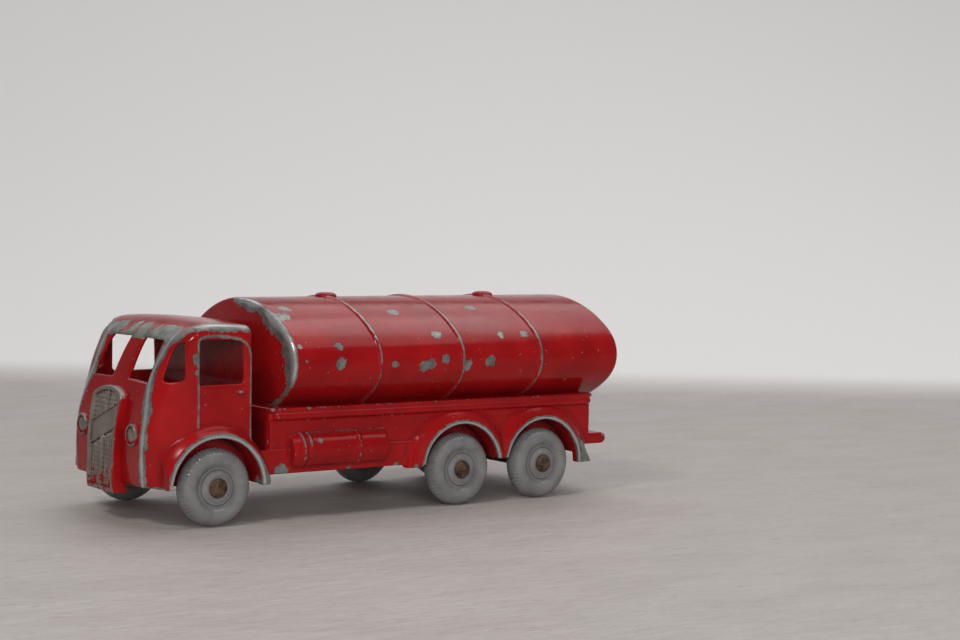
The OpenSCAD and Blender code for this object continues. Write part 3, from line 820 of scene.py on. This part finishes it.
# The tank's oval is four arcs: wide ones above and below, and tight ones at the sides
HALF_W, HALF_H, END_R = 13.15, 7.05, 3.7
BIG_R = (HALF_W ** 2 + HALF_H ** 2 - 2 * HALF_W * END_R) / (2 * (HALF_H - END_R))
MEET = math.atan2(HALF_W - END_R, BIG_R - HALF_H)
AROUND = 360
FRONT_DISH, FRONT_EDGE_R = 0.32, 0.5
BACK_DISH, BACK_EDGE_R = 0.25, 0.95
BAND_HALF, BAND_HEIGHT = 0.36, 0.2
NOT_RIM = 9.0
TANK_CHIPS = [
    (-9.7, 12.5, 19.5, 0.3), (-14.8, 12.6, 19.5, 0.42), (-14.7, 13.1, 17.5, 0.6), (-10.2, 13.1, 17.9, 0.16),
    (-22.0, 13.1, 17.2, 0.45), (-25.3, 7.5, 22.9, 0.7), (-28.7, 11.6, 20.4, 0.6), (-26.1, 13.1, 16.9, 0.65),
    (-27.0, 13.1, 17.2, 0.65), (-29.1, 13.1, 17.7, 0.5), (-32.3, 13.1, 16.9, 0.6), (-35.6, 13.1, 17.3, 0.65),
    (-37.9, 11.8, 20.3, 0.5), (-41.5, 11.8, 20.3, 0.55), (-37.0, 6.7, 23.3, 0.6), (-11.1, 6.3, 23.4, 0.7),
    (-9.8, 8.2, 22.6, 0.9), (-16.0, -12.8, 18.9, 0.8), (-24.5, -13.1, 16.8, 0.6), (-34.0, -12.4, 19.8, 0.8),
    (-47.0, -13.1, 17.3, 0.9), (-49.5, -6.0, 23.6, 0.9), (-30.0, -5.0, 24.0, 0.7), (-18.5, 2.0, 24.5, 0.6),
    (-56.0, 8.0, 20.5, 0.9), (-56.0, -7.5, 13.5, 0.8), (-56.0, 1.0, 17.0, 0.5)]


def oval_points(n):
    """Points and outward normals, evenly spread round the oval and smoothed where its arcs meet."""
    wide = [MEET * i / 200 for i in range(200)]
    tight = [MEET + (math.pi / 2 - MEET) * i / 200 for i in range(201)]
    q = np.array([(BIG_R * math.sin(a), HALF_H - BIG_R + BIG_R * math.cos(a)) for a in wide]
                 + [(HALF_W - END_R + END_R * math.sin(a), END_R * math.cos(a)) for a in tight])
    lower = q[::-1] * [1, -1]
    right_half = np.concatenate([q, lower[1:]])
    left_half = right_half[::-1] * [-1, 1]
    loop = np.concatenate([right_half, left_half[1:-1]])
    wrapped = np.vstack([loop, loop[:1]])
    s = np.concatenate([[0], np.cumsum(np.linalg.norm(np.diff(wrapped, axis=0), axis=1))])
    at = np.linspace(0, s[-1], n, endpoint=False)
    out = np.stack([np.interp(at, s, wrapped[:, k]) for k in range(2)], 1)
    for _ in range(90):
        out = (np.roll(out, 1, 0) + 2 * out + np.roll(out, -1, 0)) / 4
    out *= [HALF_W / out[:, 0].max(), HALF_H / out[:, 1].max()]
    run = np.roll(out, -1, 0) - np.roll(out, 1, 0)
    normal = np.stack([-run[:, 1], run[:, 0]], 1) / np.linalg.norm(run, axis=1)[:, None]
    return out, normal * np.sign((normal * out).sum(1))[:, None]


def tank_stations():
    """Rings from front to back as (x, how far outside the oval, how much of an end's disc).

    Rings within an end's disc have None as the second value, and a back one has a negative third."""
    stations = [(TANK_FRONT - FRONT_DISH * t ** 2.5, None, t) for t in np.linspace(0.03, 0.97, 14)]
    for i in range(8):
        a = math.pi / 2 * i / 7
        x = TANK_FRONT - FRONT_DISH - FRONT_EDGE_R * (1 - math.cos(a))
        stations.append((x, -FRONT_EDGE_R * (1 - math.sin(a)), 1.0))
    # Close rings where the deck ends, so that the step in the tank's foot is clean
    xs = list(np.arange(TANK_FRONT - 1.0, TANK_BACK + 1.6, -0.25)) + [DECK_BACK + 0.3, DECK_BACK + 0.26]
    for b in BANDS:
        xs = [x for x in xs if abs(x - b) > 0.55] + list(b + np.linspace(-0.5, 0.5, 17))
    for x in sorted(xs, reverse=True):
        band = sum(BAND_HEIGHT * math.cos(math.pi / 2 * (x - b) / BAND_HALF) ** 0.8
                   for b in BANDS if abs(x - b) < BAND_HALF)
        stations.append((x, band, 1.0))
    for i in range(10):
        a = math.pi / 2 * i / 9
        x = TANK_BACK + BACK_DISH + BACK_EDGE_R * (1 - math.sin(a))
        stations.append((x, -BACK_EDGE_R * (1 - math.cos(a)), 1.0))
    return stations + [(TANK_BACK + BACK_DISH * t ** 2.5, None, -t) for t in np.linspace(0.97, 0.03, 12)]


def tank_points(stations):
    """The tank's vertices, and how far each is from the front rim."""
    oval, normal = oval_points(AROUND)
    front_disc = oval - normal * FRONT_EDGE_R
    back_disc = oval - normal * BACK_EDGE_R
    points, rim_gap = [], []
    for x, outside, share in stations:
        if outside is None:
            line = (front_disc if share > 0 else back_disc) * abs(share)
            gap = (1 - abs(share)) * HALF_H * 0.95 + 0.2
        else:
            line = oval + normal * outside
            gap = max(0.0, TANK_FRONT - 0.55 - x) * 5.0
        z = line[:, 1] + TANK_Z
        if x > DECK_BACK + 0.27:
            z = np.maximum(z, DECK_TOP - 0.9)
        points.append(np.stack([np.full(AROUND, x), line[:, 0], z], 1))
        rim_gap += [gap if share > 0 else NOT_RIM] * AROUND
    centres = [[TANK_FRONT, 0, TANK_Z], [TANK_BACK, 0, TANK_Z]]
    return np.concatenate(points + [centres]), np.array(rim_gap + [NOT_RIM, NOT_RIM])


def tank_faces(rings):
    after = [(i + 1) % AROUND for i in range(AROUND)]
    faces = []
    for k in range(rings - 1):
        a, b = k * AROUND, (k + 1) * AROUND
        faces += [(a + i, a + after[i], b + after[i], b + i) for i in range(AROUND)]
    front_centre, back_centre = rings * AROUND, rings * AROUND + 1
    end = (rings - 1) * AROUND
    faces += [(front_centre, after[i], i) for i in range(AROUND)]
    return faces + [(back_centre, end + i, end + after[i]) for i in range(AROUND)]


def tank_wear(p, rim_gap):
    """A ragged bare front rim, worn bands, chips and a lightly rubbed back edge."""
    x = p[:, 0]
    angle = np.arctan2(p[:, 2] - TANK_Z, p[:, 1])
    width = 0.6 + 0.34 * np.sin(angle * 5 + 0.6) + 0.22 * np.sin(angle * 11 + 2.0)
    width += 0.55 * bell(angle - 0.75, 0.5)
    width *= 1 - 0.75 * smooth((angle - 1.55) / 0.35) - 0.5 * smooth((-angle - 0.1) / 0.5) * (angle > -1.6)
    rim = np.where(rim_gap < 8, 0.6 + 0.75 * (width - rim_gap), 0) - 0.45 * smooth((angle - 1.5) / 0.15)
    bands = np.zeros(len(p))
    for b in BANDS:
        off = np.abs(x - b)
        near = 0.44 + 0.34 * bell(x - b + 0.03, 0.16) - 0.9 * smooth((off - 0.16) / 0.15)
        near += 0.12 * np.sin(angle * 4 + b)
        bands = np.maximum(bands, np.where(off < 0.45, near, 0))
    back = (0.4 + 0.26 * bell(angle - 0.3, 0.6)) * bell(x - TANK_BACK - 0.55, 0.3)
    wear = np.maximum.reduce([rim, bands, spots(p, TANK_CHIPS), back, np.zeros(len(p))])
    return np.clip(wear, 0, MOST_WEAR)


def make_tank():
    stations = tank_stations()
    points, rim_gap = tank_points(stations)
    ob = make_mesh("tank", points, facing_out(points, tank_faces(len(stations))))
    # Painted shade: the tank's lower side behind the deck is darkened
    low_overhang_shade = 0.3 * smooth((13.9 - points[:, 2]) / 1.4) * smooth((points[:, 0] - DECK_BACK - 0.5) / 3)
    mark(ob, tank_wear(points, rim_gap), low_overhang_shade)
    painted(ob, "tank_enamel", 31.0, "tank_barrel", "tank_front_end", "tank_rear_end", "tank_band_front",
            "tank_band_middle", "tank_band_rear", speck=0.72)


# -------- deck, end walls and bumper

LEDGE_THICK, LEDGE_OUT = 0.24, 0.5
ROD_Z, ROD_R = 11.72, 0.5
BUMPER_X, BUMPER_Z, BUMPER_R = -54.7, 6.85, 0.7
DECK_CHIPS = [(-6.8, 11.6, 12.6, 0.3), (-11.5, 11.7, 12.6, 0.25), (-55.2, 6.0, 7.2, 0.7),
              (-55.3, -4.0, 6.7, 0.9), (-55.1, 9.0, 7.2, 0.4), (-6.8, -11.7, 12.1, 0.7)]


def deck_field(x, y, z):
    ay = np.abs(y)
    slab = np.maximum(np.abs(z - (DECK_TOP + DECK_BOTTOM) / 2) - 0.72, ay - SIDE)
    ledge = cut(np.abs(z - DECK_TOP + LEDGE_THICK) - LEDGE_THICK, ay - SIDE - LEDGE_OUT, 0.15)
    deck = join(slab, ledge, 0.08)
    deck = cut(deck + 0 * x, np.maximum(x - DECK_FRONT, DECK_BACK - x), 0.2)
    # A rod runs along each side under the ledge
    rod_end = np.maximum(x - DECK_FRONT + 0.85, 0) + np.minimum(x - DECK_BACK - 0.6, 0)
    rod = length(rod_end, ay - SIDE - 0.12, z - ROD_Z) - ROD_R
    deck = join(deck, rod, 0.04)
    for wall_x in (DECK_FRONT - 0.5, DECK_BACK + 0.5):
        wall = np.maximum(np.abs(x - wall_x) - 0.5, np.maximum(ay - SIDE + 0.3, np.abs(z - 9.4) - 2.55))
        deck = join(deck, wall, 0.2)
    # The tongue reaches forward under the cab
    tongue = np.maximum(ay - WEB_IN, np.abs(z - 7.43) - 0.57)
    deck = join(deck, np.maximum(tongue, np.maximum(x + 4.4, DECK_FRONT - 0.3 - x)), 0.15)
    bar = length(x - BUMPER_X, z - BUMPER_Z) - BUMPER_R
    shelf = np.maximum(np.abs(z - BUMPER_Z) - BUMPER_R, np.maximum(BUMPER_X - x, x - DECK_BACK - 0.5))
    return join(deck, cut(np.minimum(bar, shelf) + 0 * y, ay - SIDE, 0.3), 0.2)


def make_deck():
    h = 0.14
    ob = voxel_piece("deck", deck_field, (-56.0, -12.6, 5.4), (-3.9, 12.6, 13.4), h)
    p = local_mm(ob.data)
    x, y, z = p.T
    ay = np.abs(y)
    edge = edges_of(ob, 0.5, h)
    ledge = (0.3 + 0.12 * np.sin(x * 0.9)) * bell(z - 12.6, 0.12) * (ay > SIDE + 0.3)
    wear = np.maximum.reduce([0.46 * np.clip(edge, 0, 1), ledge, spots(p, DECK_CHIPS)])
    # Painted shade: creases, and the deck's underside, are darkened
    mark(ob, wear, np.clip(-edge, 0, 1) + 0.5 * (z < DECK_BOTTOM - 0.2) * (ay < SIDE - 1))
    painted(ob, "deck_enamel", 44.0, "chassis_frame", "rear_bumper")


# -------- sides: skirt, rear mudguards, cylinder

SKIRT_FRONT, RAIL_BACK = -6.75, -26.5
SKIRT_BOTTOM = 5.25
GUARD_BOTTOM = 5.3
_, CYL_Y, CYL_Z = middle("air_cylinder_left")
CYL_BACK = low("air_cylinder_left")[0] - FRONT_AXLE
CYL_FRONT = high("air_cylinder_left")[0] - FRONT_AXLE
CYL_R = 2.0
CYL_HOOPS = (1.3, 2.2, 8.6)
SIDE_CHIPS = {
    "left": [(-8.1, 11.3, 5.6, 0.75), (-12.7, 12.3, 9.0, 0.4), (-23.5, 11.4, 5.3, 0.35),
             (-17.0, 11.4, 5.3, 0.3), (-23.6, 12.5, 6.8, 0.2), (-26.0, 11.7, 5.0, 0.5)],
    "right": [(-9.0, 11.3, 7.9, 0.6), (-20.0, 11.4, 5.4, 0.6), (-33.0, 11.9, 10.3, 0.5),
              (-46.5, 12.0, 9.8, 0.5)]}


def nearest_axle(x, z):
    """Distance to the nearer of the two back axles."""
    return np.minimum(*[arch_distance(x, z, axle_x) for axle_x in BACK_AXLES])


def skirt_and_rail(x, y, z):
    top = DECK_BOTTOM + 0.1
    skirt = polygon(x, z, [(DECK_BACK, 6.4), (DECK_BACK, top), (SKIRT_FRONT, top),
                           (SKIRT_FRONT, SKIRT_BOTTOM)])
    skirt = np.maximum(skirt, np.abs(y - 10.7) - 0.5)
    rail = polygon(x, z, [(RAIL_BACK, SKIRT_BOTTOM), (RAIL_BACK, 8.0), (-4.6, 8.0), (-4.6, SKIRT_BOTTOM)])
    rail = cut(rail, np.abs(y - 10.78) - 0.58, 0.1)
    front_gap = polygon(arch_distance(x, z, 0.0), y, [(0, 0), (0, 20), (6.35, 20), (6.35, 0)])
    return np.maximum(join(skirt, rail, 0.06), -front_gap)


def rear_guard(x, y, z, rho):
    """The double mudguard's flared ring."""
    guard = polygon(rho, y, [(WELL_R, 7.9), (WELL_R, LIP_Y), (5.9, LIP_Y), (6.2, 12.08), (6.7, 11.75),
                             (7.5, 11.1), (7.5, 10.2), (6.2, 10.2), (6.2, 7.9)])
    guard = np.maximum(guard, z - DECK_BOTTOM - 0.05)
    guard = cut(guard, GUARD_BOTTOM - z, 0.1)
    return np.maximum(guard, BACK_AXLES[1] - 7.4 - x)


def air_cylinder(x, y, z):
    off = length(y - CYL_Y, z - CYL_Z)
    drum = cut(off - CYL_R, np.abs(x - (CYL_BACK + CYL_FRONT) / 2) - (CYL_FRONT - CYL_BACK) / 2, 0.3)
    for back in CYL_HOOPS:
        hoop = length(np.maximum(np.abs(x - (CYL_FRONT - back)) - 0.08, 0), off - 1.98) - 0.18
        drum = join(drum, hoop, 0.08)
    return drum


def side_field(x, y, z):
    """The left side; the right one is its mirror image."""
    rho = nearest_axle(x, z)
    sides = join(skirt_and_rail(x, y, z), rear_guard(x, y, z, rho), 0.3)
    tail = polygon(x, z, [(-52.25, 4.1), (-50.9, 6.7), (-49.6, 7.4), (-48.9, 6.0), (-48.2, 4.1)])
    tail = cut(tail, np.abs(y - 11.6) - 0.6, 0.15)
    # A small toe stands where the rail ends and the mudguard begins
    toe = polygon(x, z, [(-26.9, 4.9), (-24.7, 4.9), (-24.95, 6.0), (-25.6, 7.4), (-26.5, 8.6),
                         (-27.6, 8.2)])
    toe = cut(toe, np.abs(y - 11.2 - 0.3 * smooth((7.5 - z) / 2.5)) - 0.6, 0.3)
    sides = join(join(sides, toe, 0.5), tail, 0.15)
    sides = open_wells(sides, rho, y, z, GUARD_BOTTOM)
    return join(sides, air_cylinder(x, y, z), 0.12)


def side_wear(p, edge, chips):
    x, y, z = p.T
    lip = (0.6 + 0.85 * (0.3 - np.abs(nearest_axle(x, z) - 5.64)) / 0.3) * (y > LIP_Y - 0.3)
    tail = 0.95 * smooth((-48.6 - x) / 0.5) * smooth((7.6 - z) / 0.6) * (y > LIP_Y - 0.35)
    hoop_gap = np.abs(length(y - CYL_Y, z - CYL_Z) - 2.16)
    on_drum = (x < CYL_FRONT) * (x > CYL_BACK) * (y > SIDE)
    hoops = (0.5 + 0.2 * smooth((z - CYL_Z) / 1.5)) * np.clip(1 - hoop_gap / 0.12, 0, 1) * on_drum
    wear = np.maximum.reduce([0.44 * np.clip(edge, 0, 1), lip, tail, hoops, spots(p, chips)])
    return np.clip(wear * smooth((y - 10.6) / 0.4), 0, MOST_WEAR)


def make_sides():
    h = 0.11
    for side, hand in ((1, "left"), (-1, "right")):
        ob = voxel_piece("chassis_side_" + hand, side_field, (-53.4, 7.8, 3.4), (-4.4, 13.4, 12.2), h)
        me = ob.data
        p = local_mm(me)
        edge = edges_of(ob, 0.35, h)
        # Painted shade: creases, and the inner face of each side, are darkened
        inner_side = smooth((10.4 - p[:, 1]) / 0.3)
        shade_grime_mix = np.clip(np.clip(-edge, 0, 1) * 0.9 + 0.5 * inner_side, 0, 1)
        mark(ob, side_wear(p, edge, SIDE_CHIPS[hand]), shade_grime_mix)
        if hand == "right":
            q = coords(me)
            q[:, 1] *= -1
            me.vertices.foreach_set("co", q.ravel())
            me.flip_normals()
            me.update()
        painted(ob, "side_enamel_" + hand, 52.0 + side, "side_skirt_" + hand, "rear_wing_" + hand,
                "air_cylinder_" + hand)


# -------- every piece

make_cab()
make_grille()
for index, (axle, axle_x) in enumerate(AXLES.items()):
    plastic = plastic_material("grey_plastic_%d" % index, 3.0 + 2 * index)
    for side, hand in ((1, "left"), (-1, "right")):
        make_wheel(axle, axle_x, hand, side, plastic)
    make_spindle(axle, axle_x, rust_material("rusty_steel_" + axle, 5.0 + index))
for side, hand in ((1, "left"), (-1, "right")):
    make_lamp(hand, side)
for hand in ("front", "rear"):
    make_lid(hand)
make_tank()
make_deck()
make_sides()

# The rivets stay as the CAD has them
rivet_metal = zinc_material("rivet_metal", 6.0)
for node in ("body_rivet_front", "body_rivet_rear"):
    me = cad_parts[node].data
    me.materials.clear()
    me.materials.append(rivet_metal)

# -------- camera

AZ, EL, ROLL = math.radians(36.115), math.radians(2.969), math.radians(1.099)
EYE = Vector((117.38, 187.83, 33.37)) * MM
LENS, SENSOR = 68.58, 36.0
UP = Vector((0, 0, 1))

back = Vector((math.sin(AZ) * math.cos(EL), math.cos(AZ) * math.cos(EL), math.sin(EL)))
right = (-back).cross(UP).normalized()
level_up = right.cross(-back)
cam_right = math.cos(ROLL) * right + math.sin(ROLL) * level_up
cam_up = -math.sin(ROLL) * right + math.cos(ROLL) * level_up
cam = add("camera", bpy.data.cameras.new("camera"))
cam.data.lens = LENS
cam.data.sensor_width = SENSOR
cam.data.clip_start = 0.01
cam.matrix_world = Matrix(((cam_right.x, cam_up.x, back.x, EYE.x), (cam_right.y, cam_up.y, back.y, EYE.y),
                           (cam_right.z, cam_up.z, back.z, EYE.z), (0, 0, 0, 1)))
bpy.context.scene.camera = cam

# -------- table and backdrop

# One pale sheet, in metres. It is flat round the toy, and sweeps up slowly behind it and far off
# on the other sides
EDGE, BEND = 0.118, 0.7
FAR, FAR_BEND = 0.9, 0.5
BEND_STEPS, FAR_STEPS = 48, 12
TABLE_PALE, TABLE_GRAIN, TABLE_CLOUD = (0.43, 0.392, 0.375), (0.315, 0.278, 0.263), (0.32, 0.28, 0.26)
TABLE_FLECK, WALL_PALE_PAINTED_BRIGHT = (0.24, 0.19, 0.17), (0.8, 0.78, 0.768)
BRUSHED = (1.0, 2.2, 1.0)
flat_back = Vector((back.x, back.y, 0)).normalized()


def rise(t, radius):
    """Height of a quarter circle that starts level."""
    t = min(max(t, 0.0), radius)
    return radius - math.sqrt(radius * radius - t * t)


def quarter_steps(n):
    return [math.sin(math.pi / 2 * i / n) for i in range(1, n + 1)]


def sheet():
    far = [FAR + FAR_BEND * v for v in quarter_steps(FAR_STEPS)]
    ds = sorted([-EDGE - BEND * v for v in quarter_steps(BEND_STEPS)] + [-EDGE, 0.0, 0.3, 0.6, FAR] + far)
    ws = sorted([k * 0.3 for k in range(-3, 4)] + [s * w for w in far for s in (1, -1)])
    points = []
    for d in ds:
        for w in ws:
            height = rise(-d - EDGE, BEND) + rise(d - FAR, FAR_BEND) + rise(abs(w) - FAR, FAR_BEND)
            points.append(tuple(flat_back * d + right * w + Vector((0, 0, height))))
    n = len(ws)
    quads = [(k * n + i, k * n + i + 1, (k + 1) * n + i + 1, (k + 1) * n + i)
             for k in range(len(ds) - 1) for i in range(n - 1)]
    me = bpy.data.meshes.new("backdrop")
    me.from_pydata(points, [], quads)
    me.update()
    if me.polygons[0].normal.z < 0:
        me.flip_normals()
    me.polygons.foreach_set("use_smooth", np.ones(len(me.polygons), dtype=bool))
    return add("backdrop", me)


def sheet_material():
    """Wood grain that fades into a plain pale wall as the sheet rises; the wall is painted paler than the
    table, standing in for part of its brighter light.
    """
    mat, t, bsdf = shader("pale_surface")
    place_in = t.nodes.new("ShaderNodeTexCoord")
    parts = t.nodes.new("ShaderNodeSeparateXYZ")
    t.links.new(place_in.outputs["Object"], parts.inputs[0])
    height = parts.outputs["Z"]
    grain = ramp(t, noise(t, 900, 6, 0.7), 0.35, 0.75, 0.0, 0.12)
    table = mix(t, grain, TABLE_PALE, TABLE_GRAIN)
    cloud = ramp(t, noise(t, 60, 6, 0.65, stretch=BRUSHED), 0.35, 0.7, 0.0, 0.4)
    table = mix(t, cloud, table, TABLE_CLOUD)
    fleck = ramp(t, noise(t, 420, 5, 0.7, stretch=(1.0, 2.5, 1.0), seed=3.0), 0.53, 0.72, 0.0, 0.45)
    table = mix(t, fleck, table, TABLE_FLECK)
    # Painted light: the rising wall is made paler than the table to stand in for its brighter lighting
    table = mix(t, ramp(t, height, 0.00003, 0.0026), table, WALL_PALE_PAINTED_BRIGHT)
    plug(t, bsdf.inputs["Base Color"], table)
    bsdf.inputs["Roughness"].default_value = 0.62
    grooves = noise(t, 260, 6, 0.62, stretch=BRUSHED)
    wrinkle = calc(t, "MULTIPLY", grooves, ramp(t, height, 0.0, 0.0012, 1.0, 0.0))
    plug(t, bsdf.inputs["Normal"], bump(t, wrinkle, 0.0006, 0.5))
    return mat


floor = sheet()
floor.data.materials.append(sheet_material())

# -------- light

WORLD_COLOUR, WORLD_STRENGTH = (0.95, 0.97, 1.0, 1.0), 0.12
AIM = Vector((0.0, 0.0, 0.012))

world = bpy.data.worlds.new("studio")
bpy.context.scene.world = world
world.use_nodes = True
world.node_tree.nodes["Background"].inputs[0].default_value = WORLD_COLOUR
world.node_tree.nodes["Background"].inputs[1].default_value = WORLD_STRENGTH


def softbox(name, place_at, size, power, colour):
    """A rectangular light aimed at the toy, placed in metres to the camera's right, up and towards it."""
    data = bpy.data.lights.new(name, "AREA")
    data.shape = "RECTANGLE"
    data.size, data.size_y = size
    data.energy = power
    data.color = colour
    ob = add(name, data)
    at = AIM + right * place_at[0] + UP * place_at[1] + flat_back * place_at[2]
    ob.location = at
    ob.rotation_euler = (at - AIM).to_track_quat("Z", "Y").to_euler()
    return ob


softbox("ceiling", (0.12, 0.42, -0.08), (0.45, 0.35), 0.76, (0.98, 0.99, 1.0))
softbox("back_ceiling", (0.0, 0.56, -0.48), (1.3, 0.5), 2.3, (1.0, 1.0, 1.0))
softbox("window", (-0.15, 0.33, 0.25), (0.06, 0.07), 0.5, (1.0, 0.985, 0.96))
# The fill only lights: mirrored in the enamel it would leave a broad streak
softbox("front_fill", (0.08, 0.085, 0.42), (0.6, 0.16), 1.7, (1.0, 0.99, 0.97)).visible_glossy = False
bpy.context.scene.view_settings.view_transform = "Standard"
